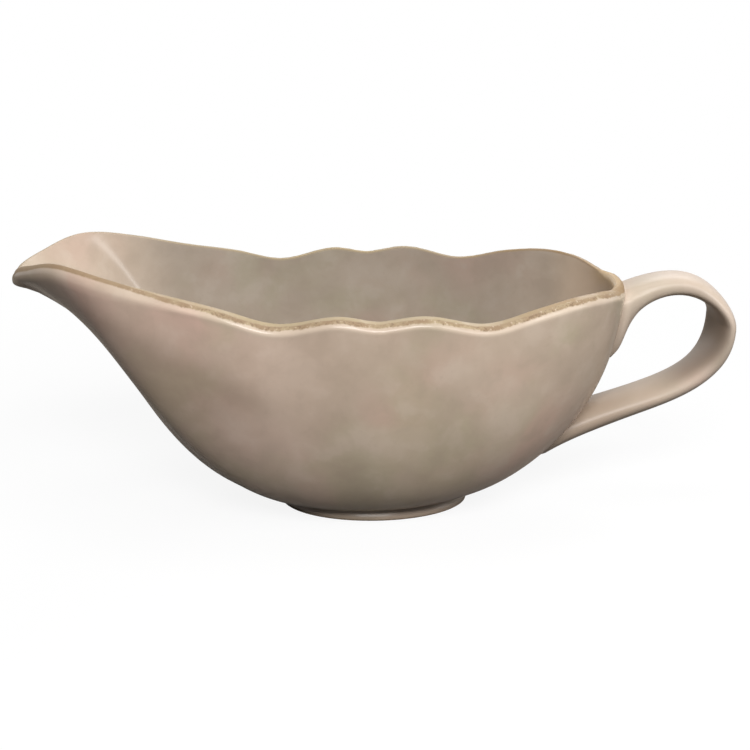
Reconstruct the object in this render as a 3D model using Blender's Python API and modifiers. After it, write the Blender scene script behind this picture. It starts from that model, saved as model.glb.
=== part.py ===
import bmesh
import bpy
import numpy as np
from mathutils import Vector
from mathutils.geometry import interpolate_bezier

# Gravy boat in metres, +Z up, spout towards -X, handle towards +X, standing on z = 0.
# Every size of the bowl's outline is measured to the middle of its wall.

# Bowl
WALL = 0.0045                # fired wall thickness
RIM_HEIGHT = 0.0803          # middle of the rim's waves
HALF_WIDTH = 0.0482          # middle of the bowl to either side
BACK_REACH = 0.0817          # widest section to the back
SPOUT_REACH = 0.1276         # widest section to the tip of the spout
SHOULDER_REACH = 0.0679      # rim as it would round off without the spout
BELLY_REACH = 0.0912         # belly below the spout
BOWL_SHIFT = 0.0026          # widest section from the middle of the whole length
FLOOR_HALF_LENGTH = 0.0230   # level part of the floor
FLOOR_HALF_WIDTH = 0.0171
FLOOR_SHIFT = -0.0044
BACK_FULLNESS = 2.25         # 2 is an ellipse, more is squarer
SPOUT_TAPER = 1.83           # 1 is a blunt spout, more is finer
SPOUT_FLARE = 5.1            # how late the keel of the spout leaves the belly on its way up
FLANK_FLARE = 1.0            # and its flanks, which rise evenly
KEEL_KEENNESS = 9.1          # how close to the keel the late flare stays
TIP_PINCH = 0.40             # share of the width that the tip of the spout is pinched by
PINCH_KEENNESS = 18.5        # how close to the tip the pinch stays
BELLY_SWELL = 2.34           # how fast the belly spreads from the floor
BELLY_SPAN = 0.85            # share of the belly's curve that the wall runs through
LIP_ROUND = 0.0018           # rounding of both edges of the rim

# Waves of the rim: degrees round from the handle, rise over RIM_HEIGHT, the same on both sides
WAVE_HEIGHT = 0.0033         # tallest wave beside the handle
SPOUT_HEIGHT = 0.0134        # cheeks of the spout
TIP_HEIGHT = 0.0046          # tip of the spout, between its cheeks
RIM_WAVES = (
    (0, 0.36 * WAVE_HEIGHT), (15, 0.25 * WAVE_HEIGHT), (30, 0.89 * WAVE_HEIGHT), (45, WAVE_HEIGHT),
    (56, 0.49 * WAVE_HEIGHT), (70, -0.55 * WAVE_HEIGHT), (85, 0.52 * WAVE_HEIGHT), (92, 0.0),
    (101, 0.53 * WAVE_HEIGHT), (113, -0.40 * WAVE_HEIGHT), (121, 0.23 * SPOUT_HEIGHT),
    (130, 0.49 * SPOUT_HEIGHT), (140, 0.79 * SPOUT_HEIGHT), (152, SPOUT_HEIGHT),
    (163, 0.67 * SPOUT_HEIGHT), (172, 1.27 * TIP_HEIGHT), (180, TIP_HEIGHT),
)

# Foot ring
FOOT_HEIGHT = 0.0037         # table to the underside of the bowl's floor
FOOT_HALF_LENGTH = 0.0334
FOOT_HALF_WIDTH = 0.0215
FOOT_WALL = 0.0042
FOOT_ROUND = 0.0006
FOOT_FLARE = 0.0008          # the ring draws in this far on its way up

# Handle, along the middle of its strap
UPPER_ROOT_DROP = 0.0153     # rim to the middle of the upper root
UPPER_ROOT_DEPTH = 0.0074    # start of the strap behind the middle of the wall
UPPER_LEAN = 41.3            # degrees that the strap leaves the bowl upwards
UPPER_PULL = 0.0414
GRIP_REACH = 0.0383          # back of the rim to the outer end of the loop
GRIP_DROP = 0.0145           # rim to the outer end of the loop
GRIP_PULL_UP = 0.0077
GRIP_PULL_DOWN = 0.0282
LOWER_ROOT_HEIGHT = 0.0226   # table to the middle of the lower root
LOWER_ROOT_DEPTH = 0.0008
LOWER_LEAN = 29.7            # degrees that the strap rises from the lower root
LOWER_PULL = 0.0322
HEAD_BITE = 0.0060           # the upper end runs on this far into the wall
TAIL_BITE = 0.0120           # and the lower end, thinning out
TAIL_FALL = 0.0030
TAIL_THICKNESS = 0.0050

# Strap sections: share of the way from upper to lower root, thickness, width
UPPER_ROOT_THICKNESS = 0.0256
UPPER_ROOT_WIDTH = 0.0220
NECK_THICKNESS = 0.0098
NECK_WIDTH = 0.0176
CROWN_THICKNESS = 0.0064
CROWN_WIDTH = 0.0170
GRIP_THICKNESS = 0.0062
GRIP_WIDTH = 0.0216
ARM_THICKNESS = 0.0082
ARM_WIDTH = 0.0170
LOWER_ROOT_THICKNESS = 0.0090
LOWER_ROOT_WIDTH = 0.0208
STRAP = (
    (0.00, UPPER_ROOT_THICKNESS, UPPER_ROOT_WIDTH),
    (0.14, NECK_THICKNESS, NECK_WIDTH),
    (0.30, CROWN_THICKNESS, CROWN_WIDTH),
    (0.48, GRIP_THICKNESS, GRIP_WIDTH),
    (0.72, ARM_THICKNESS, ARM_WIDTH),
    (1.00, LOWER_ROOT_THICKNESS, LOWER_ROOT_WIDTH),
)
STRAP_FULLNESS = 3.2         # 2 is an oval strap, more is a squarer one

# Gap between fired pieces, so that each stays a body of its own
JOINT_GAP = 0.0003
SEAM_MERGE = 0.00002         # stray corners that a cut leaves
CUTTER_RISE = 0.0200         # cutter above the highest wave of the rim

# Fineness of the surfaces
AROUND = 96
WALL_STEPS = 16
FLOOR_CROWDING = 1.6         # 1 spaces the rings evenly, more draws them towards the floor
STRAP_STEPS = 20
STRAP_SIDES = 24
LIP_SEGMENTS = 3
LIP_ANGLE = 60               # degrees, sharper edges are rounded

# Glaze and bare clay: linear colour, roughness
GLAZE_BOWL = ((0.46, 0.37, 0.29), 0.22)
GLAZE_HANDLE = ((0.50, 0.41, 0.33), 0.20)
CLAY_FOOT = ((0.30, 0.24, 0.19), 0.60)


def clear_scene():
    for item in list(bpy.data.objects):
        bpy.data.objects.remove(item, do_unlink=True)


def new_collection(name):
    collection = bpy.data.collections.new(name)
    bpy.context.scene.collection.children.link(collection)
    return collection


def new_material(name, finish):
    colour, roughness = finish
    material = bpy.data.materials.new(name)
    material.use_nodes = True
    shader = material.node_tree.nodes["Principled BSDF"]
    shader.inputs["Base Color"].default_value = (*colour, 1.0)
    shader.inputs["Roughness"].default_value = roughness
    shader.inputs["Metallic"].default_value = 0.0
    return material


def new_piece(name, mesh, collection, material):
    mesh.materials.append(material)
    mesh.shade_smooth()
    piece = bpy.data.objects.new(name, mesh)
    collection.objects.link(piece)
    return piece


def smooth_line(stations, at):
    # Cubic through the stations, level at both ends.
    places, values = np.array(stations, dtype=float).T
    slopes = np.gradient(values, places)
    slopes[0] = 0.0
    slopes[-1] = 0.0
    span = np.clip(np.searchsorted(places, at, side="right") - 1, 0, len(places) - 2)
    width = places[span + 1] - places[span]
    u = (at - places[span]) / width
    ends = values[span] * (1 + 2 * u) * (1 - u) ** 2 + values[span + 1] * u ** 2 * (3 - 2 * u)
    return ends + width * (slopes[span] * u * (1 - u) ** 2 - slopes[span + 1] * u ** 2 * (1 - u))


def floor_level():
    return FOOT_HEIGHT + WALL / 2


def rim_level(angle):
    from_handle = np.degrees(np.arccos(np.cos(angle)))
    return RIM_HEIGHT + smooth_line(RIM_WAVES, from_handle)


def belly_spread(rise):
    # 0 at the floor and 1 at the rim: quick and level at first, then steep.
    curve = np.sqrt(1 - (1 - BELLY_SPAN * rise) ** BELLY_SWELL)
    return curve / np.sqrt(1 - (1 - BELLY_SPAN) ** BELLY_SWELL)


def wall_point(angle, rise):
    # Middle of the wall at an angle from the handle and a rise from floor (0) to rim (1).
    along = np.cos(angle)
    across = np.sin(angle)
    front = np.clip(-along, 0, 1)
    back = np.clip(along, 0, 1)
    rounding = np.where(along > 0, 2 / BACK_FULLNESS, 1.0)
    rim_x = BOWL_SHIFT + BACK_REACH * back ** (2 / BACK_FULLNESS) - BELLY_REACH * front
    pinch = 1 - TIP_PINCH * front ** PINCH_KEENNESS * rise ** SPOUT_FLARE
    rim_y = HALF_WIDTH * np.sign(across) * np.abs(across) ** rounding * pinch
    tip = SHOULDER_REACH * front + (SPOUT_REACH - SHOULDER_REACH) * front ** SPOUT_TAPER
    flare = FLANK_FLARE + (SPOUT_FLARE - FLANK_FLARE) * front ** KEEL_KEENNESS
    spout = (tip - BELLY_REACH * front) * rise ** flare
    floor_x = FLOOR_SHIFT + FLOOR_HALF_LENGTH * along
    floor_y = FLOOR_HALF_WIDTH * across
    spread = belly_spread(rise)
    x = floor_x + (rim_x - floor_x) * spread - spout
    y = floor_y + (rim_y - floor_y) * spread
    z = floor_level() + (rim_level(angle) - floor_level()) * rise
    return np.stack([x, y, z], axis=-1)


def back_wall_x(height):
    # Middle of the wall under the handle at a height over the table.
    rise = (height - floor_level()) / (rim_level(0.0) - floor_level())
    return wall_point(np.array(0.0), np.array(rise))[0]


def loft(name, rings, joined=False):
    # Quads between neighbouring rings; joined also closes the last ring to the first.
    count, around = rings.shape[:2]
    faces = []
    for row in range(count if joined else count - 1):
        below = row * around
        above = (row + 1) % count * around
        for side in range(around):
            beside = (side + 1) % around
            faces.append((below + side, below + beside, above + beside, above + side))
    mesh = bpy.data.meshes.new(name)
    mesh.from_pydata(rings.reshape(-1, 3).tolist(), [], faces)
    return mesh


def bowl_wall():
    # Open middle surface of the bowl, from the closed floor up to the wavy rim.
    angle = np.linspace(0, 2 * np.pi, AROUND, endpoint=False)
    rise = np.linspace(0, 1, WALL_STEPS + 1) ** FLOOR_CROWDING
    mesh = loft("bowl", wall_point(angle[None, :], rise[:, None]))
    shape = bmesh.new()
    shape.from_mesh(mesh)
    shape.verts.ensure_lookup_table()
    floor = shape.faces.new(list(reversed(shape.verts[:AROUND])))
    bmesh.ops.poke(shape, faces=[floor])
    shape.normal_update()
    shape.to_mesh(mesh)
    return mesh, shape


def make_bowl(collection):
    mesh, shape = bowl_wall()
    shape.free()
    bowl = new_piece("bowl", mesh, collection, new_material("bowl_glaze", GLAZE_BOWL))
    shell = bowl.modifiers.new("wall", "SOLIDIFY")
    shell.thickness = WALL
    shell.offset = 0.0
    shell.use_even_offset = True
    shell.use_quality_normals = True
    lip = bowl.modifiers.new("lip", "BEVEL")
    lip.width = LIP_ROUND
    lip.segments = LIP_SEGMENTS
    lip.limit_method = "ANGLE"
    lip.angle_limit = np.radians(LIP_ANGLE)
    return bowl


def make_bowl_cutter(collection):
    # The bowl's outside with the joint gap, filled and carried up past the rim.
    mesh, shape = bowl_wall()
    for vert in shape.verts:
        vert.co += vert.normal * (WALL / 2 + JOINT_GAP)
    rim = [edge for edge in shape.edges if edge.is_boundary]
    bmesh.ops.extrude_edge_only(shape, edges=rim)
    raised = [edge for edge in shape.edges if edge.is_boundary]
    top = max(vert.co.z for vert in shape.verts) + CUTTER_RISE
    for edge in raised:
        for vert in edge.verts:
            vert.co.z = top
    bmesh.ops.holes_fill(shape, edges=raised)
    bmesh.ops.recalc_face_normals(shape, faces=shape.faces)
    shape.to_mesh(mesh)
    shape.free()
    cutter = bpy.data.objects.new("bowl_cutter", mesh)
    cutter.hide_render = True
    cutter.display_type = "WIRE"
    collection.objects.link(cutter)
    return cutter


def cut_to_bowl(piece, cutter):
    cut = piece.modifiers.new("bowl_side", "BOOLEAN")
    cut.operation = "DIFFERENCE"
    cut.solver = "EXACT"
    cut.object = cutter
    seam = piece.modifiers.new("seam", "WELD")
    seam.merge_threshold = SEAM_MERGE


def turned(degrees, length):
    angle = np.radians(degrees)
    return Vector((length * np.cos(angle), 0, length * np.sin(angle)))


def strap_path():
    # Two curves, upper root to the outer end of the loop and on to the lower root.
    upper_z = RIM_HEIGHT - UPPER_ROOT_DROP
    upper = Vector((back_wall_x(upper_z) - UPPER_ROOT_DEPTH, 0, upper_z))
    grip = Vector((BOWL_SHIFT + BACK_REACH + GRIP_REACH, 0, RIM_HEIGHT - GRIP_DROP))
    lower = Vector((back_wall_x(LOWER_ROOT_HEIGHT) - LOWER_ROOT_DEPTH, 0, LOWER_ROOT_HEIGHT))
    over = interpolate_bezier(
        upper, upper + turned(UPPER_LEAN, UPPER_PULL), grip + turned(90, GRIP_PULL_UP), grip, STRAP_STEPS)
    under = interpolate_bezier(
        grip, grip - turned(90, GRIP_PULL_DOWN), lower + turned(LOWER_LEAN, LOWER_PULL), lower, STRAP_STEPS)
    return np.array(over + under[1:])


def flattened(share):
    # Sine or cosine of an oval section, drawn out towards the corners of an oblong.
    return np.sign(share) * np.abs(share) ** (2 / STRAP_FULLNESS)


def make_handle(collection, cutter):
    path = strap_path()
    step = np.linalg.norm(np.diff(path, axis=0), axis=1)
    share = np.concatenate([[0.0], np.cumsum(step)]) / step.sum()
    stations = np.array(STRAP)
    thickness = smooth_line(stations[:, [0, 1]], share)
    width = smooth_line(stations[:, [0, 2]], share)
    heading = np.gradient(path, axis=0)
    heading /= np.linalg.norm(heading, axis=1, keepdims=True)

    # Both ends run on into the bowl, where the joint is cut.
    head = path[0] - HEAD_BITE * heading[0]
    tail = path[-1] - np.array([TAIL_BITE, 0.0, TAIL_FALL])
    path = np.vstack([head, path, tail])
    heading = np.vstack([heading[0], heading, heading[-1]])
    thickness = np.concatenate([thickness[:1], thickness, [TAIL_THICKNESS]])
    width = np.concatenate([width[:1], width, width[-1:]])

    turn = np.linspace(0, 2 * np.pi, STRAP_SIDES, endpoint=False)
    outward = np.stack([-heading[:, 2], np.zeros(len(path)), heading[:, 0]], axis=-1)
    flat = thickness[:, None, None] / 2 * outward[:, None, :] * flattened(np.cos(turn))[None, :, None]
    wide = width[:, None, None] / 2 * np.array([0.0, 1.0, 0.0]) * flattened(np.sin(turn))[None, :, None]
    mesh = loft("handle", path[:, None, :] + flat + wide)
    shape = bmesh.new()
    shape.from_mesh(mesh)
    bmesh.ops.holes_fill(shape, edges=shape.edges)
    bmesh.ops.recalc_face_normals(shape, faces=shape.faces)
    shape.to_mesh(mesh)
    shape.free()
    handle = new_piece("handle", mesh, collection, new_material("handle_glaze", GLAZE_HANDLE))
    cut_to_bowl(handle, cutter)
    return handle


def make_foot_ring(collection, cutter):
    # A small profile carried round an oval, its top cut to the underside of the bowl.
    blank = 2 * floor_level()
    profile = (
        (FOOT_ROUND, 0.0), (0.0, FOOT_ROUND), (FOOT_FLARE, FOOT_HEIGHT), (FOOT_FLARE, blank),
        (FOOT_WALL, blank), (FOOT_WALL, FOOT_ROUND), (FOOT_WALL - FOOT_ROUND, 0.0),
    )
    angle = np.linspace(0, 2 * np.pi, AROUND, endpoint=False)
    rings = []
    for inset, height in profile:
        x = (FOOT_HALF_LENGTH - inset) * np.cos(angle)
        y = (FOOT_HALF_WIDTH - inset) * np.sin(angle)
        rings.append(np.stack([x, y, np.full(AROUND, height)], axis=-1))
    mesh = loft("foot_ring", np.array(rings), joined=True)
    foot = new_piece("foot_ring", mesh, collection, new_material("foot_clay", CLAY_FOOT))
    cut_to_bowl(foot, cutter)
    return foot


def main():
    clear_scene()
    parts = new_collection("gravy_boat")
    cutters = new_collection("cutters")
    cutter = make_bowl_cutter(cutters)
    make_bowl(parts)
    make_handle(parts, cutter)
    make_foot_ring(parts, cutter)


main()
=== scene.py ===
import bpy
import numpy as np
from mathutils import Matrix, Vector


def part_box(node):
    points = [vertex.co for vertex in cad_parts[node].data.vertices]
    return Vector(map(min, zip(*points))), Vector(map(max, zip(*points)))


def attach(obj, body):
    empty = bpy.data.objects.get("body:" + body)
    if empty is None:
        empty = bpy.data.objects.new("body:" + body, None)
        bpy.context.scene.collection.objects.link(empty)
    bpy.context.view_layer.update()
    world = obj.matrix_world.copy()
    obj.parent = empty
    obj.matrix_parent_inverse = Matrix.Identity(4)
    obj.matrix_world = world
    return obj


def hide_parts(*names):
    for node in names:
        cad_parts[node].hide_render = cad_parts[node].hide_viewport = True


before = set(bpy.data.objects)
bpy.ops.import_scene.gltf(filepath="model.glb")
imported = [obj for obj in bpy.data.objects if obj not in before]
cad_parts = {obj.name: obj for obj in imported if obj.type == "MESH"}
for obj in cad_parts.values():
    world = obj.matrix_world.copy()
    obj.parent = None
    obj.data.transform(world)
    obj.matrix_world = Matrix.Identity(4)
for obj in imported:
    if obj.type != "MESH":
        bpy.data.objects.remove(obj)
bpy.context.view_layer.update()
bowlLow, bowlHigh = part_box("bowl")
footLow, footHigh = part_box("foot_ring")
scene = bpy.context.scene
mm = 0.001
print("frame loaded, nodes:", sorted(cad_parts))


# shared maths

def smoothLine(stations, at):
    # cubic through (place, value) stations, level at both ends
    places, values = np.array(stations, dtype=float).T
    slopes = np.gradient(values, places)
    slopes[[0, -1]] = 0.0
    span = np.clip(np.searchsorted(places, at, side="right") - 1, 0, len(places) - 2)
    width = places[span + 1] - places[span]
    u = (at - places[span]) / width
    ends = values[span] * (1 + 2 * u) * (1 - u) ** 2 + values[span + 1] * u ** 2 * (3 - 2 * u)
    return ends + width * (slopes[span] * u * (1 - u) ** 2 - slopes[span + 1] * u ** 2 * (1 - u))


def smoothStep(low, high, at):
    # 0 below low, 1 above high, s-curve between
    u = np.clip((at - low) / (high - low), 0, 1)
    return u * u * (3 - 2 * u)


def bump(at, middle, width, power=2):
    # 1 at the middle, falling off to either side as the exponential of a power
    return np.exp(-((at - middle) / width) ** power)


def unit(vectors):
    # each vector divided by its length
    return vectors / np.maximum(np.linalg.norm(vectors, axis=-1, keepdims=True), 1e-12)


def fromHandle(turn):
    # angle from the handle in degrees, the same on both sides
    return np.degrees(np.arccos(np.clip(np.cos(turn), -1, 1)))


def handWobble(points, seed, waveLength, waves=7):
    # sum of a few slanted sine waves through space, about -1 to 1
    rng = np.random.default_rng(seed)
    heading = unit(rng.normal(size=(waves, 3)))
    pitch = rng.uniform(0.7, 1.6, waves) * 2 * np.pi / waveLength
    phase = rng.uniform(0, 2 * np.pi, waves)
    return np.sin((points @ heading.T) * pitch + phase).sum(axis=-1) * 2 / waves


def ringMesh(name, rows, poles=None, marks=None):
    # quads between neighbouring closed rows; two poles close the ends with fans,
    # without poles the last row joins the first; marks are values kept at the points
    count, around = rows.shape[:2]
    grid = np.arange(count * around).reshape(count, around)
    beside = np.roll(grid, -1, axis=1)
    quads = np.stack([grid, beside, np.roll(beside, -1, axis=0), np.roll(grid, -1, axis=0)], axis=-1)
    points = rows.reshape(-1, 3)
    if poles is None:
        faces = quads.reshape(-1, 4).tolist()
    else:
        hub = np.full(around, len(points))
        faces = quads[:-1].reshape(-1, 4).tolist()
        faces += np.stack([hub, beside[0], grid[0]], axis=-1).tolist()
        faces += np.stack([hub + 1, grid[-1], beside[-1]], axis=-1).tolist()
        points = np.vstack([points, poles])
    mesh = bpy.data.meshes.new(name)
    mesh.from_pydata(points.tolist(), [], faces)
    for label, values in (marks or {}).items():
        flat = values.reshape(-1)
        flat = np.concatenate([flat, np.full(len(points) - flat.size, flat[-1])])
        mesh.attributes.new(label, "FLOAT", "POINT").data.foreach_set("value", flat.astype(np.float32))
    mesh.shade_smooth()
    piece = bpy.data.objects.new(name, mesh)
    scene.collection.objects.link(piece)
    return piece


# bowl

bowl = {
    "wall": 4.5 * mm,
    "rimHeight": 80.3 * mm,
    "backReach": 81.7 * mm,
    "spoutReach": 127.2 * mm,
    "shoulderReach": 67.9 * mm,
    "bellyReach": 91.2 * mm,
    "shift": 2.6 * mm,
    "floorHalfLength": 23.0 * mm,
    "floorHalfWidth": 17.1 * mm,
    "floorShift": -4.4 * mm,
    "backFullness": 2.25,       # 2 is an ellipse, more is squarer
    "spoutTaper": 1.83,
    "spoutFlare": 5.1,          # how late the keel of the spout leaves the belly
    "flankFlare": 0.6,          # and its flanks
    "keelKeenness": 9.1,
    "tipPinch": 0.61,
    "pinchKeenness": 18.5,
    "tipBlunt": 2.2 * mm,
    "mouthSwell": 0.105,        # the spout's mouth is a little wider before it narrows
    "mouthAt": 146.0,           # degrees from the handle
    "mouthWide": 11.0,
    "mouthRise": 2,
    "bellySwell": 2.34,
    "bellySpan": 0.85,
    "around": 400,
    "wallRows": 74,
    "rowsGather": 1.5,          # rows lie closer together near the floor
    "floorRows": 8,
    "floorHub": 0.12,           # innermost row of the floor, as a share of it
    "lipRows": 16,
    "lipFrom": 0.98,            # rise from which the wall's steepness at the rim is taken
    "lipIn": 0.5 * mm,          # the crest lies this far from the inner face
    "lipDrop": 3.4 * mm,        # and the edge falls away outwards over this height
    "endLipIn": 2.4 * mm,       # a softer inner edge by the handle
    "endTurn": (4, 16),
    "spoutLipIn": 0.9 * mm,     # the same two at the spout, where the edge is rounder
    "spoutLipDrop": 6.5 * mm,
    "spoutTurn": (120, 150),
    "tipThin": 0.45,            # share of the inner half of the wall lost at the tip
    "nose": 2.6 * mm,           # thick rounding under the tip, by distance from the crest in mm
    "noseAt": 4.0,
    "noseWide": 3.2,
    "wobble": 0.22 * mm,
    "wobbleLength": 46 * mm,
    "wobbleRise": (4 * mm, 20 * mm),
    "ripple": 0.20,             # share of the rim's waves that pushes the wall out
    "rippleDepth": 14 * mm,
    "rippleTurn": (112, 128),   # no ripple past here, towards the spout
    "bead": 0.12 * mm,          # thick glaze that gathers under the bare edge
    "beadAt": 4.9,
    "beadWide": 1.1,
    "beadLeast": 0.65,
    "beadLength": 22 * mm,
    "worn": 0.14 * mm,          # glaze missing on the edge itself
    "wornAt": 2.2,
    "wornWide": 2.0,
    "wornUneven": 0.5,
    "wornLength": 3.2 * mm,
    "grain": 0.05 * mm,
    "grainLength": 1.6 * mm,
    "spoutWear": 0.7,           # share of the wear that the spout's edge is spared
    "spoutWearAt": (-60 * mm, -105 * mm),
}
bowl["halfWidth"] = (bowlHigh.y - bowlLow.y) / 2 - bowl["wall"] / 2
bowl["floorLevel"] = bowlLow.z + bowl["wall"] / 2

# degrees round from the handle, rise over the rim height in mm
rimWaves = (
    (0, 1.2), (15, 0.8), (30, 2.95), (45, 3.3), (56, 1.6), (70, -1.8), (85, 1.7), (92, 0.0),
    (101, 1.75), (113, -1.3), (121, 2.65), (130, 6.15), (140, 10.25), (152, 13.0), (163, 9.3),
    (172, 6.7), (180, 4.4),
)


def rimLevel(turn):
    # height of the rim at an angle: the waves over the rim height
    return bowl["rimHeight"] + smoothLine(rimWaves, fromHandle(turn)) * mm


def bellySpread(rise):
    # square root of a falling power: level at the floor, steep at the rim
    end = 1 - (1 - bowl["bellySpan"]) ** bowl["bellySwell"]
    return np.sqrt((1 - (1 - bowl["bellySpan"] * rise) ** bowl["bellySwell"]) / end)


def wallPoint(turn, rise):
    # middle of the wall: floor oval blended into the rim's plan by the belly's spread, drawn out to the
    # spout by powers of the rise, swollen at its mouth, and pinched and blunted at its tip
    b = bowl
    along, across = np.cos(turn), np.sin(turn)
    front, back = np.clip(-along, 0, 1), np.clip(along, 0, 1)
    rounding = np.where(along > 0, 2 / b["backFullness"], 1.0)
    rimX = b["shift"] + b["backReach"] * back ** (2 / b["backFullness"]) - b["bellyReach"] * front
    tip = front ** b["pinchKeenness"] * rise ** b["spoutFlare"]
    mouth = bump(fromHandle(turn), b["mouthAt"], b["mouthWide"]) * rise ** b["mouthRise"]
    pinch = 1 - b["tipPinch"] * tip + b["mouthSwell"] * mouth
    rimY = b["halfWidth"] * np.sign(across) * np.abs(across) ** rounding * pinch
    drawn = b["shoulderReach"] * front + (b["spoutReach"] - b["shoulderReach"]) * front ** b["spoutTaper"]
    flare = b["flankFlare"] + (b["spoutFlare"] - b["flankFlare"]) * front ** b["keelKeenness"]
    spout = (drawn - b["bellyReach"] * front) * rise ** flare
    floorX = b["floorShift"] + b["floorHalfLength"] * along
    floorY = b["floorHalfWidth"] * across
    spread = bellySpread(rise)
    x = floorX + (rimX - floorX) * spread - spout + b["tipBlunt"] * tip
    y = floorY + (rimY - floorY) * spread
    z = b["floorLevel"] + (rimLevel(turn) - b["floorLevel"]) * rise
    return np.stack([x, y, z], axis=-1)


def wallFrame(turn, rise):
    # point, outward normal and upward tangent of the wall, by small differences
    turn, rise = np.broadcast_arrays(turn, rise)
    tiny = 1e-4
    sideways = wallPoint(turn + tiny, rise) - wallPoint(turn - tiny, rise)
    upward = wallPoint(turn, np.minimum(rise + tiny, 1)) - wallPoint(turn, np.maximum(rise - tiny, 0))
    return wallPoint(turn, rise), unit(np.cross(sideways, upward)), unit(upward)


def makeBowl():
    # closed profile carried round: each row is the wall's middle at a rise, moved along its normal;
    # the lip is a quarter ellipse outside its crest and a quarter circle inside
    b = bowl
    half = b["wall"] / 2
    turn = np.linspace(0, 2 * np.pi, b["around"], endpoint=False)[None, :]
    angle = fromHandle(turn)
    rimStep = wallPoint(turn, 1.0) - wallPoint(turn, b["lipFrom"])
    slope = np.linalg.norm(rimStep, axis=-1) / (1 - b["lipFrom"])
    climb = (np.linspace(0, 1, b["wallRows"]) ** b["rowsGather"])[:, None]
    descent = climb[::-1]
    bendOut = np.linspace(0, np.pi / 2, b["lipRows"] + 1)[1:, None]
    bendIn = np.linspace(np.pi / 2, np.pi, b["lipRows"] // 2 + 1)[1:-1, None]

    # the lip's shape changes towards the spout and towards the handle
    spoutward = smoothStep(*b["spoutTurn"], angle)
    handleward = 1 - smoothStep(*b["endTurn"], angle)
    lipIn = (b["lipIn"] + (b["spoutLipIn"] - b["lipIn"]) * spoutward
             + (b["endLipIn"] - b["lipIn"]) * handleward)
    lipDrop = b["lipDrop"] + (b["spoutLipDrop"] - b["lipDrop"]) * spoutward
    tip = np.clip(-np.cos(turn), 0, 1) ** b["pinchKeenness"]
    crestAt = lipIn - half * (1 - b["tipThin"] * tip)

    # up the outside, over the lip and down the inside
    rise = np.concatenate([climb * (1 - lipDrop / slope), 1 - lipDrop * (1 - np.sin(bendOut)) / slope,
                           1 - lipIn * (1 - np.sin(bendIn)) / slope, descent * (1 - lipIn / slope)])
    offset = np.concatenate([half + 0 * climb + 0 * turn, crestAt + (half - crestAt) * np.cos(bendOut),
                             crestAt + lipIn * np.cos(bendIn),
                             -half * (1 - b["tipThin"] * tip * descent ** b["spoutFlare"])])
    lean = np.concatenate([0 * climb + 1, np.cos(bendOut), np.cos(bendIn), 0 * climb - 1])
    lift = np.concatenate([0 * climb, np.sin(bendOut), np.sin(bendIn), 0 * climb])
    middle, normal, upward = wallFrame(np.broadcast_to(turn, rise.shape), rise)
    inward = np.linspace(b["floorHub"], 1, b["floorRows"])[:-1, None, None]
    centre = np.array([b["floorShift"], 0, b["floorLevel"]])
    floorRows = centre + (middle[0] - centre) * inward
    down = np.broadcast_to(np.array([0.0, 0.0, -1.0]), floorRows.shape)
    spine = np.concatenate([floorRows, middle, floorRows[::-1]])
    outward = np.concatenate([down, normal * lean[..., None] + upward * lift[..., None], -down])
    rows = np.concatenate([floorRows + half * down, middle + normal * offset[..., None],
                           (floorRows - half * down)[::-1]])

    # distance from the crest along the profile in mm, outside positive
    steps = np.linalg.norm(np.diff(rows, axis=0), axis=-1)
    run = np.concatenate([np.zeros((1, b["around"])), np.cumsum(steps, axis=0)]) / mm
    lip = run[len(floorRows) + b["wallRows"] + b["lipRows"] - 1] - run

    # worn edge and glaze bead, moved along the skin
    patchy = b["beadLeast"] + (1 - b["beadLeast"]) * handWobble(rows, 11, b["beadLength"])
    bead = b["bead"] * patchy * bump(lip, b["beadAt"], b["beadWide"])
    edge = bump(lip, b["wornAt"], b["wornWide"], 4)
    worn = b["worn"] * edge * (1 + b["wornUneven"] * handWobble(rows, 5, b["wornLength"]))
    grain = b["grain"] * edge * handWobble(rows, 8, b["grainLength"])
    wear = 1 - b["spoutWear"] * smoothStep(*b["spoutWearAt"], rows[..., 0])
    rows = rows + outward * ((bead - worn + grain) * wear)[..., None]

    # nose under the tip, uneven hand-made wall and ripple under the waves, moved with the wall
    wallward = np.concatenate([np.zeros_like(down), normal, np.zeros_like(down)])
    nose = b["nose"] * tip * bump(lip, b["noseAt"], b["noseWide"])
    rows = rows + unit(wallward * np.array([1.0, 1.0, 0.0])) * nose[..., None]
    sway = handWobble(spine, 3, b["wobbleLength"]) * b["wobble"] * smoothStep(*b["wobbleRise"], spine[..., 2])
    wave = (rimLevel(turn) - b["rimHeight"]) * (1 - smoothStep(*b["rippleTurn"], angle))
    swell = b["ripple"] * wave * np.exp(-np.abs(lip) * mm / b["rippleDepth"])
    rows = rows + wallward * (sway + swell)[..., None]
    return ringMesh("glazed_bowl", rows, (centre - [0, 0, half], centre + [0, 0, half]), {"lip": lip})


bowlPiece = makeBowl()
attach(bowlPiece, "root")
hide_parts("bowl")
print("bowl made,", len(bowlPiece.data.polygons), "faces")


# handle

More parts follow.
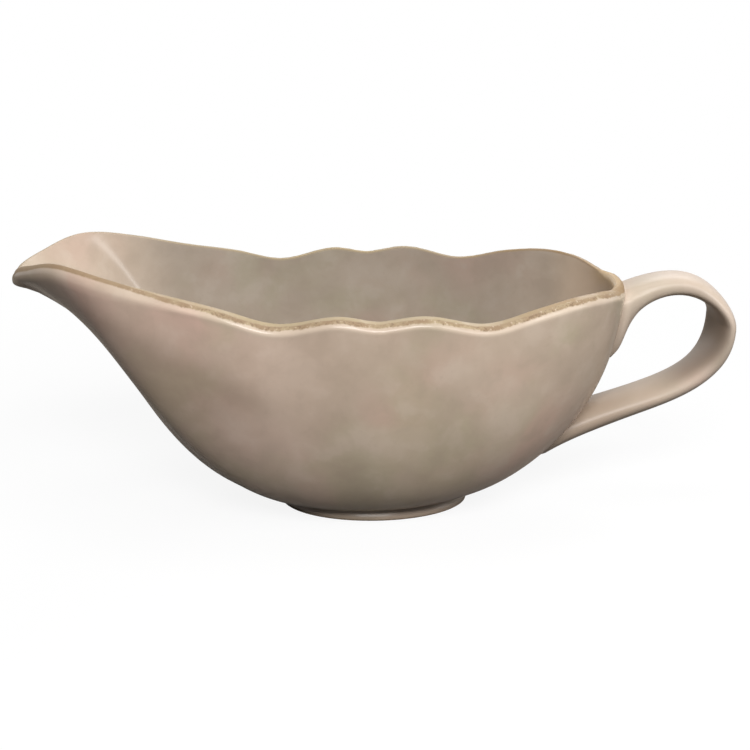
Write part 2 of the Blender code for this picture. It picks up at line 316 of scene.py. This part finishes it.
handle = {
    "rootDrop": 15.3 * mm,
    "rootDepth": 7.4 * mm,
    "rootLean": 41.3,           # degrees
    "rootPull": 41.4 * mm,
    "gripDrop": 14.5 * mm,
    "gripReach": 38.1 * mm,
    "gripPullUp": 7.7 * mm,
    "gripPullDown": 28.2 * mm,
    "tailHeight": 22.6 * mm,
    "tailDepth": 0.8 * mm,
    "tailLean": 29.7,
    "tailPull": 32.2 * mm,
    "tailBite": (-12 * mm, 0, -3 * mm),     # the lower end runs on this far into the wall
    "tailThick": 5.0 * mm,
    "tailRows": 12,
    "sunk": 1.8 * mm,           # how far the ends go into the wall
    "steepest": 0.3,            # limit on the wall's slant when they are held back
    "steps": 110,
    "sides": 80,
    "upperFrom": (40 * mm, 52 * mm),        # heights between lower and upper root
    "topFacing": (0.1, 0.7),    # upward part of the skin's direction
    "lowFacing": (0.1, 0.8),    # and downward
    "flare": 1.0 * mm,
    "flareReach": 2.6 * mm,
    "lowerFlare": 0.35,         # share of the flare at the lower root
    "dip": 1.3 * mm,            # the strap's top sinks towards the rim
    "dipReach": 6.0 * mm,
    "drip": 2.0 * mm,           # clay smoothed down the wall under the upper root
    "dripReach": 2.4 * mm,
    "dripWay": (-0.5, 0.0, -0.87),
    "welt": 0.45 * mm,
    "weltAt": 2.4 * mm,
    "weltWide": 0.9 * mm,
    "wobble": 0.12 * mm,
    "wobbleLength": 30 * mm,
}

# share of the way round, thickness and width in mm, squareness of the section
strapSections = (
    (0.00, 25.6, 22.0, 3.2), (0.14, 9.8, 17.8, 2.8), (0.30, 6.8, 18.8, 2.5), (0.39, 5.6, 28.6, 2.4),
    (0.57, 7.4, 21.6, 2.1), (0.74, 9.3, 18.8, 2.0), (1.00, 9.9, 22.2, 2.2),
)


def bezier(a, b, c, d, steps):
    # cubic curve from a to d, pulled towards b and c
    u = np.linspace(0, 1, steps)[:, None]
    return (1 - u) ** 3 * a + 3 * u * (1 - u) ** 2 * b + 3 * u ** 2 * (1 - u) * c + u ** 3 * d


def leaning(degrees, length):
    # vector in the upright plane at an angle over the table
    return length * np.array([np.cos(np.radians(degrees)), 0, np.sin(np.radians(degrees))])


def signedPower(values, power):
    # power of the size, with the sign kept
    return np.sign(values) * np.abs(values) ** power


def backWallX(height):
    # middle of the wall below the handle at a height
    rise = (height - bowl["floorLevel"]) / (rimLevel(0.0) - bowl["floorLevel"])
    return wallPoint(np.array(0.0), np.array(rise))[0]


def clearOfWall(points, tries=6):
    # distance of a point in front of the back wall's outside: the wall's angle at the point's
    # width is found by repeating the inverse of its width formula
    b = bowl
    y = np.abs(points[..., 1])
    turn = np.zeros_like(y)
    for _ in range(tries):
        rise = np.clip((points[..., 2] - b["floorLevel"]) / (rimLevel(turn) - b["floorLevel"]), 0.002, 1)
        spread = bellySpread(rise)
        sine = y - b["floorHalfWidth"] * np.sin(turn) * (1 - spread)
        sine = np.clip(sine / (b["halfWidth"] * spread), 0, 0.98)
        turn = np.arcsin(sine ** (b["backFullness"] / 2))
    middle, normal, _ = wallFrame(turn, rise)
    return (points[..., 0] - middle[..., 0]) * normal[..., 0] - b["wall"] / 2, normal[..., 0]


def makeHandle():
    # rounded oblong section carried along two curves, flared and welted where it meets the bowl
    h = handle
    rootZ = bowl["rimHeight"] - h["rootDrop"]
    root = np.array([backWallX(rootZ) - h["rootDepth"], 0, rootZ])
    gripX = bowl["shift"] + bowl["backReach"] + h["gripReach"]
    grip = np.array([gripX, 0, bowl["rimHeight"] - h["gripDrop"]])
    tail = np.array([backWallX(h["tailHeight"]) - h["tailDepth"], 0, h["tailHeight"]])
    over = bezier(root, root + leaning(h["rootLean"], h["rootPull"]),
                  grip + leaning(90, h["gripPullUp"]), grip, h["steps"])
    under = bezier(grip, grip - leaning(90, h["gripPullDown"]),
                   tail + leaning(h["tailLean"], h["tailPull"]), tail, h["steps"])
    path = np.concatenate([over, under[1:]])
    step = np.linalg.norm(np.diff(path, axis=0), axis=1)
    share = np.concatenate([[0.0], np.cumsum(step)]) / step.sum()
    sections = np.array(strapSections)
    thick = smoothLine(sections[:, [0, 1]], share) * mm
    wide = smoothLine(sections[:, [0, 2]], share) * mm
    square = smoothLine(sections[:, [0, 3]], share)
    heading = unit(np.gradient(path, axis=0))

    # the lower end runs on into the wall, thinning
    more = h["tailRows"]
    path = np.concatenate([path, path[-1] + np.array(h["tailBite"]) * np.linspace(0.1, 1, more)[:, None]])
    heading = np.concatenate([heading, np.repeat(heading[-1:], more, axis=0)])
    thick = np.concatenate([thick, np.linspace(thick[-1], h["tailThick"], more)])
    wide = np.concatenate([wide, np.full(more, wide[-1])])
    square = np.concatenate([square, np.full(more, square[-1])])

    turn = -np.linspace(0, 2 * np.pi, h["sides"], endpoint=False)   # this way round the faces look outwards
    power = 2 / square[:, None]
    c = signedPower(np.cos(turn), power)
    s = signedPower(np.sin(turn), power)
    outside = np.stack([-heading[:, 2], np.zeros(len(path)), heading[:, 0]], axis=-1)[:, None, :]
    side = np.array([0.0, 1.0, 0.0])
    thick, wide = thick[:, None], wide[:, None]
    rows = path[:, None, :] + outside * (thick / 2 * c)[..., None] + side * (wide / 2 * s)[..., None]

    # outward direction of the strap's skin, then flare and welt by the distance from the wall
    skin = unit(outside * (c / thick)[..., None] + side * (s / wide)[..., None])
    clear, facing = clearOfWall(rows)
    ahead = np.clip(clear, 0, None)
    upper = smoothStep(*h["upperFrom"], rows[..., 2])
    top = smoothStep(*h["topFacing"], skin[..., 2]) * upper
    low = smoothStep(*h["lowFacing"], -skin[..., 2]) * upper
    rootShare = h["lowerFlare"] + (1 - h["lowerFlare"]) * upper
    flare = h["flare"] * np.exp(-ahead / h["flareReach"]) * rootShare * (1 - top)
    welt = h["welt"] * bump(clear, h["weltAt"], h["weltWide"]) * upper * (1 - top)
    dip = h["dip"] * top * np.exp(-ahead / h["dipReach"])
    drip = h["drip"] * low * np.exp(-ahead / h["dripReach"])
    sway = handWobble(rows, 21, h["wobbleLength"]) * h["wobble"]
    rows = rows + skin * (flare - dip + welt + sway)[..., None] + np.array(h["dripWay"]) * drip[..., None]
    rows[..., 0] += np.clip(-h["sunk"] - clear, 0, None) / np.maximum(facing, h["steepest"])
    within = np.clip(-c, 0, 1)      # 1 on the side that faces the finger hole
    return ringMesh("strap_handle", rows, (rows[0].mean(axis=0), rows[-1].mean(axis=0)),
                    {"joint": clear / mm, "within": within})


handlePiece = makeHandle()
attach(handlePiece, "root")
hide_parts("handle")
print("handle made,", len(handlePiece.data.polygons), "faces")


# foot ring

foot = {
    "around": 240,
    "wobble": 0.06 * mm,
    "wobbleLength": 18 * mm,
    "wobbleRise": (0.2 * mm, 1.2 * mm),     # the standing face stays flat
}

# profile from the outer edge of the standing face, up, over and down the inside: inset, height in mm
footProfile = (
    (1.0, 0.0), (0.5, 0.1), (0.12, 0.4), (0.0, 0.9), (0.12, 1.4), (0.45, 2.0), (0.85, 2.7), (1.15, 3.4),
    (1.25, 4.2), (1.1, 5.0), (0.8, 6.4), (3.6, 6.4), (3.6, 4.4), (3.75, 2.6), (3.9, 1.2), (3.8, 0.5),
    (3.4, 0.1), (2.9, 0.0),
)


def makeFoot():
    # profile points carried round the foot's oval, inset square to both axes
    halfLength = (footHigh.x - footLow.x) / 2
    halfWidth = (footHigh.y - footLow.y) / 2
    middle = (footHigh.x + footLow.x) / 2
    turn = np.linspace(0, 2 * np.pi, foot["around"], endpoint=False)[None, :]
    inset, height = np.array(footProfile).T[:, :, None] * mm
    x = middle + (halfLength - inset) * np.cos(turn)
    y = (halfWidth - inset) * np.sin(turn)
    z = footLow.z + height + 0 * turn
    rows = np.stack([x, y, z], axis=-1)
    sway = handWobble(rows, 31, foot["wobbleLength"]) * foot["wobble"] * smoothStep(*foot["wobbleRise"], z)
    spokes = unit(np.stack([np.cos(turn) * halfWidth, np.sin(turn) * halfLength, 0 * turn], axis=-1))
    return ringMesh("foot_oval", rows + spokes * sway[..., None])


footPiece = makeFoot()
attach(footPiece, "root")
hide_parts("foot_ring")
print("foot made,", len(footPiece.data.polygons), "faces")


# shader maths as python expressions

class Wire:
    def __init__(self, tree, socket=None):
        self.tree = tree
        self.socket = socket

    def feed(self, made, inputs):
        # joins wires to a node's sockets, plain values are set
        for name, value in inputs.items():
            if isinstance(value, Wire):
                self.tree.links.new(value.socket, made.inputs[name])
            else:
                made.inputs[name].default_value = value

    def node(self, kind, settings=None, inputs=None, out=0):
        # any node: settings first, then its sockets
        made = self.tree.nodes.new(kind)
        for name, value in (settings or {}).items():
            setattr(made, name, value)
        self.feed(made, inputs or {})
        return Wire(self.tree, made.outputs[out])

    def maths(self, operation, a, b):
        return self.node("ShaderNodeMath", {"operation": operation}, {0: a, 1: b})

    def __add__(self, other):
        return self.maths("ADD", self, other)

    def __radd__(self, other):
        return self.maths("ADD", other, self)

    def __sub__(self, other):
        return self.maths("SUBTRACT", self, other)

    def __rsub__(self, other):
        return self.maths("SUBTRACT", other, self)

    def __mul__(self, other):
        return self.maths("MULTIPLY", self, other)

    def __rmul__(self, other):
        return self.maths("MULTIPLY", other, self)

    def step(self, low, high):
        # smooth 0 to 1 as the value goes from low to high, either way round
        return self.node("ShaderNodeMapRange", {"interpolation_type": "SMOOTHSTEP"},
                         {"Value": self, "From Min": low, "From Max": high})

    def atLeast(self, least):
        # 0 to 1 squeezed to least to 1
        return least + self * (1 - least)

    def mix(self, factor, a, b, blend="MIX"):
        # colours a to b by a factor
        a = (*a, 1.0) if isinstance(a, tuple) else a
        b = (*b, 1.0) if isinstance(b, tuple) else b
        return self.node("ShaderNodeMix", {"data_type": "RGBA", "blend_type": blend},
                         {0: factor, 6: a, 7: b}, out=2)

    def noise(self, where, scale, detail=3.0, rough=0.5, warp=0.0):
        return self.node("ShaderNodeTexNoise", {}, {"Vector": where, "Scale": scale, "Detail": detail,
                                                    "Roughness": rough, "Distortion": warp})

    def axis(self, name):
        # X, Y or Z of a vector
        return self.node("ShaderNodeSeparateXYZ", {}, {0: self}, out=name)

    def mark(self, name):
        # value kept at the mesh's points
        return self.node("ShaderNodeAttribute", {"attribute_name": name}, out="Fac")


def newMaterial(name):
    # material with its shader; returns a wire to build on
    material = bpy.data.materials.new(name)
    material.use_nodes = True
    return material, Wire(material.node_tree), material.node_tree.nodes["Principled BSDF"]


# glaze and clay

glaze = {
    "base": (0.560, 0.445, 0.345),
    "pink": (0.630, 0.438, 0.350),
    "olive": (0.490, 0.430, 0.292),
    "pale": (0.660, 0.545, 0.440),
    "shade": (0.445, 0.348, 0.264),
    "cream": (0.660, 0.545, 0.425),
    "gold": (0.400, 0.312, 0.186),
    "clay": (0.275, 0.183, 0.102),
    "darkClay": (0.190, 0.120, 0.066),
    "rough": 0.24,
    "clayRough": 0.55,
    "roughSwing": 0.10,         # roughness follows the clouds by this much
    "cloudRelief": 0.25,
    "fineRelief": 0.05,
    "reliefStrength": 0.16,
    "reliefDepth": 0.6 * mm,
    "ior": 1.48,
    "shine": 0.30,
    "oliveShift": (3.1, 1.7, 0.6),
}

# noises of the clouds: scale, detail, roughness, warp
cloudNoises = {
    "big": (17.0, 2.5, 0.5, 0.3),
    "olive": (23.0, 3.0, 0.55, 0.4),
    "middle": (88.0, 3.0, 0.55, 0.2),
    "broad": (40.0, 2.0, 0.5, 0.3),
    "fine": (420.0, 2.0, 0.6, 0.0),
}

# noise, the values between which a tone comes in, its share, the tone
cloudTones = (
    ("big", (0.42, 0.62), 0.75, "pink"),
    ("olive", (0.45, 0.64), 0.60, "olive"),
    ("middle", (0.49, 0.68), 0.42, "pale"),
    ("middle", (0.51, 0.33), 0.34, "shade"),
    ("broad", (0.52, 0.36), 0.24, "shade"),
    ("broad", (0.50, 0.66), 0.24, "pale"),
    ("fine", (0.56, 0.80), 0.18, "shade"),
)


def glazeClouds(w, where):
    # base glaze pushed to pink, olive, pale and dark by slow noises of several sizes
    moved = w.node("ShaderNodeVectorMath", {"operation": "ADD"}, {0: where, 1: glaze["oliveShift"]})
    clouds = {name: w.noise(moved if name == "olive" else where, *size) for name, size in cloudNoises.items()}
    colour = glaze["base"]
    for name, span, share, tone in cloudTones:
        colour = w.mix(clouds[name].step(*span) * share, colour, glaze[tone])
    return colour, clouds


def finishGlaze(w, shader, colour, rough, relief, look=glaze):
    # colour, roughness and relief to the shader, with the gloss of the glaze
    normal = w.node("ShaderNodeBump", {}, {"Height": relief, "Strength": look["reliefStrength"],
                                           "Distance": look["reliefDepth"]})
    w.feed(shader, {"Base Color": colour, "Roughness": rough, "Normal": normal,
                    "IOR": glaze["ior"], "Specular IOR Level": glaze["shine"]})


bowlFinish = {
    # tones, painted light and painted shade
    "paintedLightPink": (1.230, 1.150, 1.190),     # painted light towards the spout, a little pinker
    "under": (0.700, 0.690, 0.680),     # painted shade below the spout
    "inside": (0.600, 0.630, 0.655),    # painted shade inside the bowl, over the clouds
    "end": (0.640, 0.494, 0.365),       # painted light inside, by the handle
    "endGold": (0.310, 0.204, 0.106),   # crest by the handle
    "endPaintedLight": (0.560, 0.400, 0.225),   # painted light below it, inside

    # noises: scale, detail, roughness
    "ragged": (150.0, 4.0, 0.65),
    "crumbs": (900.0, 2.0, 0.7),
    "patches": (34.0, 2.0, 0.5),
    "goldPatches": (70.0, 3.0, 0.5),

    # places along the boat in metres, from none to all
    "handleEnd": (0.045, 0.085),
    "spoutEnd": (-0.050, -0.095),
    "paintedLightPinkPlace": (0.010, -0.060),
    "underPlace": (-0.015, -0.055),
    "insideSpout": (-0.068, -0.100),
    "insideHandle": (0.040, 0.075),
    "endPlace": (0.064, 0.080),
    "goldPlace": (0.020, 0.070),
    "rimEndPlace": (0.077, 0.083),

    # distances from the crest in mm, outside positive, from none to all
    "outer": (-0.9, -0.2),
    "inner": (0.9, -0.2),
    "paintedLightPinkLip": (3.0, 8.0),
    "underLip": (0.5, 2.5),
    "creamFrom": (3.1, 3.9),
    "creamTo": (6.4, 4.6),
    "goldFrom": (-1.5, -0.6),
    "goldTo": (2.2, 1.4),
    "bareFrom": (1.3, 2.0),
    "bareTo": (3.9, 3.1),
    "rimEndFrom": (-8.0, -2.0),
    "rimEndTo": (4.4, 2.8),
    "endGoldFrom": (-1.2, 0.8),

    # the ragged edge of the bands, in mm
    "raggedReach": 2.2,
    "crumbReach": 1.1,
    "spoutShift": 1.9,                  # the bands lie higher at the spout
    "spoutCalm": 0.75,                  # and are smoother there

    # shadow below the spout, between a slanting line and a level in metres
    "underSlope": 0.47,
    "underSlant": (0.045, 0.032),
    "underLevel": (0.035, 0.056),
    "underLeast": 0.25,
    "underMore": 0.50,

    # values of the noises between which flecks and patches come in
    "patchSpan": (0.38, 0.62),
    "goldSpan": (0.40, 0.58),
    "claySpan": (0.35, 0.70),
    "speckSpan": (0.50, 0.36),
    "speckPlace": (0.30, 0.55),
    "fleckSpan": (0.60, 0.72),

    # shares
    "paintedLightPinkLeast": 0.50,
    "insideShadeShare": 0.95,
    "insideSpoutLess": 0.70,
    "insideHandleLess": 0.25,
    "endShare": 0.85,
    "creamShare": 0.50,
    "creamLeast": 0.35,
    "creamSpoutLess": 0.90,
    "goldShare": 0.92,
    "goldLeast": 0.70,
    "goldSpoutLess": 0.50,
    "goldHandle": 0.90,
    "clayHandle": 0.50,
    "claySpout": 0.80,
    "speckShare": 0.80,
    "fleckShare": 0.60,
    "bareShare": 0.92,
    "rimEndShare": 0.65,
    "rimEndRagged": 0.50,
    "bareRelief": 0.50,
}


def makeBowlGlaze():
    # clouds with painted light and shade by place and by the distance from the crest, then the bands of the
    # rim
    # over them: cream where the glaze is thick, gold where it is thin, clay where it is gone
    f = bowlFinish
    material, w, shader = newMaterial("bowl_glaze_finish")
    where = w.node("ShaderNodeTexCoord", out="Object")
    place, level, lip = where.axis("X"), where.axis("Z"), w.mark("lip")
    colour, clouds = glazeClouds(w, where)
    middle = clouds["middle"]
    ragged = w.noise(where, *f["ragged"])
    crumbs = w.noise(where, *f["crumbs"])
    towardsHandle = place.step(*f["handleEnd"])
    towardsSpout = place.step(*f["spoutEnd"])
    tear = 1.0 - towardsSpout * f["spoutCalm"]
    tatter = (ragged - 0.5) * f["raggedReach"] + (crumbs - 0.5) * f["crumbReach"]
    edge = lip + towardsSpout * f["spoutShift"] + tatter * tear
    inner = lip.step(*f["inner"])

    # painted light and shade by place: lighter and pinker towards the spout, darker below it and inside,
    # lighter inside by the handle
    # painted light on the upper flank towards the spout, with a slightly pinker tone
    paintedLightPink = place.step(*f["paintedLightPinkPlace"]) * lip.step(*f["paintedLightPinkLip"])
    colour = w.mix(paintedLightPink * clouds["big"].atLeast(f["paintedLightPinkLeast"]), colour, f["paintedLightPink"], "MULTIPLY")
    # painted shade below the spout
    slant = level + place * f["underSlope"]     # falls away from the spout
    under = place.step(*f["underPlace"]) * slant.step(*f["underSlant"]) * lip.step(*f["underLip"])
    under = under * (f["underLeast"] + f["underMore"] * level.step(*f["underLevel"]))
    colour = w.mix(under, colour, f["under"], "MULTIPLY")
    # painted shade inside the bowl, less at the spout and by the handle
    plain = (f["insideSpoutLess"] * place.step(*f["insideSpout"])
             + f["insideHandleLess"] * place.step(*f["insideHandle"]))
    colour = w.mix(inner * (f["insideShadeShare"] - plain), colour, f["inside"], "MULTIPLY")
    # painted light on the inside wall by the handle
    colour = w.mix(inner * place.step(*f["endPlace"]) * f["endShare"], colour, f["end"])

    # cream line and golden crest
    patch = w.noise(where, *f["patches"]).step(*f["patchSpan"])
    cream = edge.step(*f["creamFrom"]) * edge.step(*f["creamTo"]) * patch.atLeast(f["creamLeast"])
    cream = cream * (1.0 - towardsSpout * f["creamSpoutLess"])
    colour = w.mix(cream * f["creamShare"], colour, glaze["cream"])
    goldPatch = w.noise(where, *f["goldPatches"]).step(*f["goldSpan"])
    gold = lip.step(*f["goldFrom"]) * edge.step(*f["goldTo"]) * goldPatch.atLeast(f["goldLeast"])
    goldTone = w.mix(place.step(*f["goldPlace"]) * f["goldHandle"], glaze["gold"], f["endGold"])
    colour = w.mix(gold * (f["goldShare"] - towardsSpout * f["goldSpoutLess"]), colour, goldTone)

    # bare clay with dark specks and flecks of glaze left on it
    bare = edge.step(*f["bareFrom"]) * edge.step(*f["bareTo"]) * lip.step(*f["outer"])
    clayTone = w.mix(ragged.step(*f["claySpan"]), glaze["clay"], glaze["gold"])
    browner = towardsHandle * f["clayHandle"] + towardsSpout * f["claySpout"]
    clayTone = w.mix(browner, clayTone, glaze["clay"])
    specks = crumbs.step(*f["speckSpan"]) * middle.step(*f["speckPlace"]) * tear
    clayTone = w.mix(specks * f["speckShare"], clayTone, glaze["darkClay"])
    flecks = crumbs.step(*f["fleckSpan"]) * tear
    clayTone = w.mix(flecks * f["fleckShare"], clayTone, glaze["cream"])
    colour = w.mix(bare * f["bareShare"], colour, clayTone)

    # the rim's end by the handle: golden crest, with painted light on the inside below it
    endTone = w.mix(lip.step(*f["endGoldFrom"]), f["endPaintedLight"], f["endGold"])
    rimEnd = place.step(*f["rimEndPlace"]) * lip.step(*f["rimEndFrom"]) * lip.step(*f["rimEndTo"])
    colour = w.mix(rimEnd * (f["rimEndShare"] + ragged * f["rimEndRagged"]), colour, endTone)

    rough = glaze["rough"] + (middle - 0.5) * glaze["roughSwing"]
    rough = rough + (bare + gold) * (glaze["clayRough"] - glaze["rough"])
    relief = clouds["fine"] * glaze["fineRelief"] + middle * glaze["cloudRelief"]
    relief = relief + crumbs * bare * f["bareRelief"]
    finishGlaze(w, shader, colour, rough, relief)
    return material


handleFinish = {
    "strap": (0.550, 0.458, 0.388),
    "strapShare": 0.40,
    "jointBand": (1.6, 0.2),            # mm from the bowl's wall
    "jointShare": 0.50,
    "loopShade": (0.300, 0.225, 0.168),    # painted shade inside the loop
    "loopShadeSide": (0.35, 0.95),
    "loopShadePlace": (0.094, 0.112),
    "loopShadeShare": 0.85,
    # painted shade at the tail, low by the wall
    "tail": (0.400, 0.312, 0.240),
    "tailShadePlace": (0.110, 0.078),
    "tailShadeLevel": (0.058, 0.046),
    "rough": 0.38,
}


def makeHandleGlaze():
    # clouds evened out to the strap's tone, darker in the joint, with painted shade inside the loop and at
    # the tail
    f = handleFinish
    material, w, shader = newMaterial("handle_glaze_finish")
    where = w.node("ShaderNodeTexCoord", out="Object")
    place, level = where.axis("X"), where.axis("Z")
    colour, clouds = glazeClouds(w, where)
    colour = w.mix(f["strapShare"], colour, f["strap"])
    colour = w.mix(w.mark("joint").step(*f["jointBand"]) * f["jointShare"], colour, glaze["shade"])
    # painted shade on the side of the strap that faces the finger hole
    loopShade = w.mark("within").step(*f["loopShadeSide"]) * place.step(*f["loopShadePlace"])
    colour = w.mix(loopShade * f["loopShadeShare"], colour, f["loopShade"])
    # painted shade at the tail, low by the wall
    colour = w.mix(place.step(*f["tailShadePlace"]) * level.step(*f["tailShadeLevel"]), colour, f["tail"])
    rough = f["rough"] + (clouds["middle"] - 0.5) * glaze["roughSwing"]
    relief = clouds["fine"] * glaze["fineRelief"] + clouds["middle"] * glaze["cloudRelief"]
    finishGlaze(w, shader, colour, rough, relief)
    return material


footFinish = {
    "crumbs": (700.0, 3.0, 0.7),
    "crumbReach": 0.9,                  # mm that the glaze's lower edge wanders
    "bareLevel": (0.9, 0.3),            # mm over the table
    "bareShare": 0.90,
    "claySpan": (0.40, 0.62),
    # painted shade under the belly
    "shadeShare": 0.80,
    "clayRougher": 0.45,
    "reliefStrength": 0.25,
    "reliefDepth": 0.4 * mm,
}


def makeFootClay():
    # glaze darkened by painted shade under the belly, bare dry clay where it stands
    f = footFinish
    material, w, shader = newMaterial("foot_clay_finish")
    where = w.node("ShaderNodeTexCoord", out="Object")
    colour, clouds = glazeClouds(w, where)
    crumbs = w.noise(where, *f["crumbs"])
    bare = (where.axis("Z") * (1 / mm) + (crumbs - 0.5) * f["crumbReach"]).step(*f["bareLevel"])
    clayTone = w.mix(crumbs.step(*f["claySpan"]), glaze["darkClay"], glaze["clay"])
    # painted shade on the foot's glaze, under the belly
    colour = w.mix(f["shadeShare"], colour, glaze["shade"])
    colour = w.mix(bare * f["bareShare"], colour, clayTone)
    rough = glaze["rough"] + bare * f["clayRougher"]
    relief = crumbs * bare + clouds["fine"] * glaze["fineRelief"]
    finishGlaze(w, shader, colour, rough, relief, f)
    return material


bowlPiece.data.materials.append(makeBowlGlaze())
handlePiece.data.materials.append(makeHandleGlaze())
footPiece.data.materials.append(makeFootClay())
print("glazes made")


# floor, light and camera

studio = {
    "floorHalf": 3.0,
    "floorColour": (0.05, 0.05, 0.05),      # to bounced light
    "paper": (0.95, 0.95, 0.95),            # where the shadow shows
    "white": (1.0, 1.0, 1.0),
    "shadowShare": 0.11,
    "shadowReach": (0.34, 0.14),
    "mirrorTone": (0.36, 0.31, 0.26),       # the floor's reflection is duller near the boat
    "mirrorShare": 0.95,
    "mirrorReach": (1.20, 0.50),
    "worldGrey": (0.01, 0.01, 0.01),
    "lampAim": (0.0, 0.0, 0.05),
}

# place, width and depth in metres, watts
lamps = {
    "overhead_softbox": ((0.0, 0.05, 1.15), (0.60, 0.40), 3.0),
    "front_softbox": ((0.02, -0.84, 0.76), (0.50, 0.40), 10.7),
    "right_softbox": ((0.60, -0.60, 0.76), (0.40, 0.40), 3.3),
    "back_softbox": ((0.35, 0.85, 0.75), (0.60, 0.45), 3.4),
    "side_lamp": ((0.98, -0.31, 0.50), (0.14, 0.14), 1.5),
}


def rayKind(w, kind):
    # 1 for rays of one kind
    return w.node("ShaderNodeLightPath", out=f"Is {kind} Ray")


def seenDirectly(w):
    # 1 for rays that show the background: camera, mirror and see-through ones
    return w.maths("MINIMUM", rayKind(w, "Camera") + rayKind(w, "Glossy") + rayKind(w, "Transmission"), 1.0)


def makeFloor():
    # square sheet under the boat: white to the eye with the shadow kept, dull to bounced light
    s = studio["floorHalf"]
    mesh = bpy.data.meshes.new("floor")
    mesh.from_pydata([(-s, -s, 0), (s, -s, 0), (s, s, 0), (-s, s, 0)], [], [(0, 1, 2, 3)])
    floor = bpy.data.objects.new("floor", mesh)
    scene.collection.objects.link(floor)
    material, w, shader = newMaterial("floor_paper")
    w.tree.nodes.remove(shader)
    mirrored = rayKind(w, "Glossy")
    reach = w.node("ShaderNodeVectorMath", {"operation": "LENGTH"},
                   {0: w.node("ShaderNodeTexCoord", out="Object")}, out="Value")
    near = (reach.step(*studio["shadowReach"]) * studio["shadowShare"] * (1.0 - mirrored)
            + reach.step(*studio["mirrorReach"]) * studio["mirrorShare"] * mirrored)
    dull = w.node("ShaderNodeBsdfDiffuse", {}, {"Color": (*studio["floorColour"], 1.0)})
    tone = w.mix(mirrored, studio["paper"], studio["mirrorTone"])
    lit = w.node("ShaderNodeBsdfDiffuse", {}, {"Color": tone})
    white = w.node("ShaderNodeEmission", {}, {"Color": (*studio["white"], 1.0), "Strength": 1.0})
    paper = w.node("ShaderNodeMixShader", {}, {0: near, 1: white, 2: lit})
    shown = w.node("ShaderNodeMixShader", {}, {0: seenDirectly(w), 1: dull, 2: paper})
    w.feed(w.tree.nodes["Material Output"], {"Surface": shown})
    mesh.materials.append(material)


def makeWorld():
    # white to the eye, soft grey to the object
    world = bpy.data.worlds.new("studio_air")
    world.use_nodes = True
    scene.world = world
    w = Wire(world.node_tree)
    shade = w.mix(seenDirectly(w), studio["worldGrey"], studio["white"])
    w.feed(world.node_tree.nodes["Background"], {"Color": shade, "Strength": 1.0})


def pointing(place, aim):
    # rotation that turns -Z from one point to another, +Y kept up
    return (Vector(aim) - Vector(place)).to_track_quat("-Z", "Y").to_euler()


def addLamp(name, place, size, power):
    # rectangular soft lamp turned to the boat
    lamp = bpy.data.lights.new(name, "AREA")
    lamp.shape = "RECTANGLE"
    lamp.size, lamp.size_y = size
    lamp.energy = power
    holder = bpy.data.objects.new(name, lamp)
    scene.collection.objects.link(holder)
    holder.location = place
    holder.rotation_euler = pointing(place, studio["lampAim"])


makeFloor()
makeWorld()
for name, (place, size, power) in lamps.items():
    addLamp(name, place, size, power)

camera = {
    "place": (-19.67 * mm, -453.7 * mm, 203.5 * mm),
    "aim": (0.33 * mm, 0.0, 46.8 * mm),
    "focalPixels": 1360.0,
    "imagePixels": 750.0,
    "sensor": 36.0,
    "clipStart": 0.01,
}
lens = bpy.data.cameras.new("photo_camera")
lens.sensor_width = camera["sensor"]
lens.lens = camera["focalPixels"] / camera["imagePixels"] * camera["sensor"]
lens.clip_start = camera["clipStart"]
eye = bpy.data.objects.new("photo_camera", lens)
scene.collection.objects.link(eye)
eye.location = camera["place"]
eye.rotation_euler = pointing(camera["place"], camera["aim"])
scene.camera = eye
scene.view_settings.view_transform = "Standard"
print("studio ready")
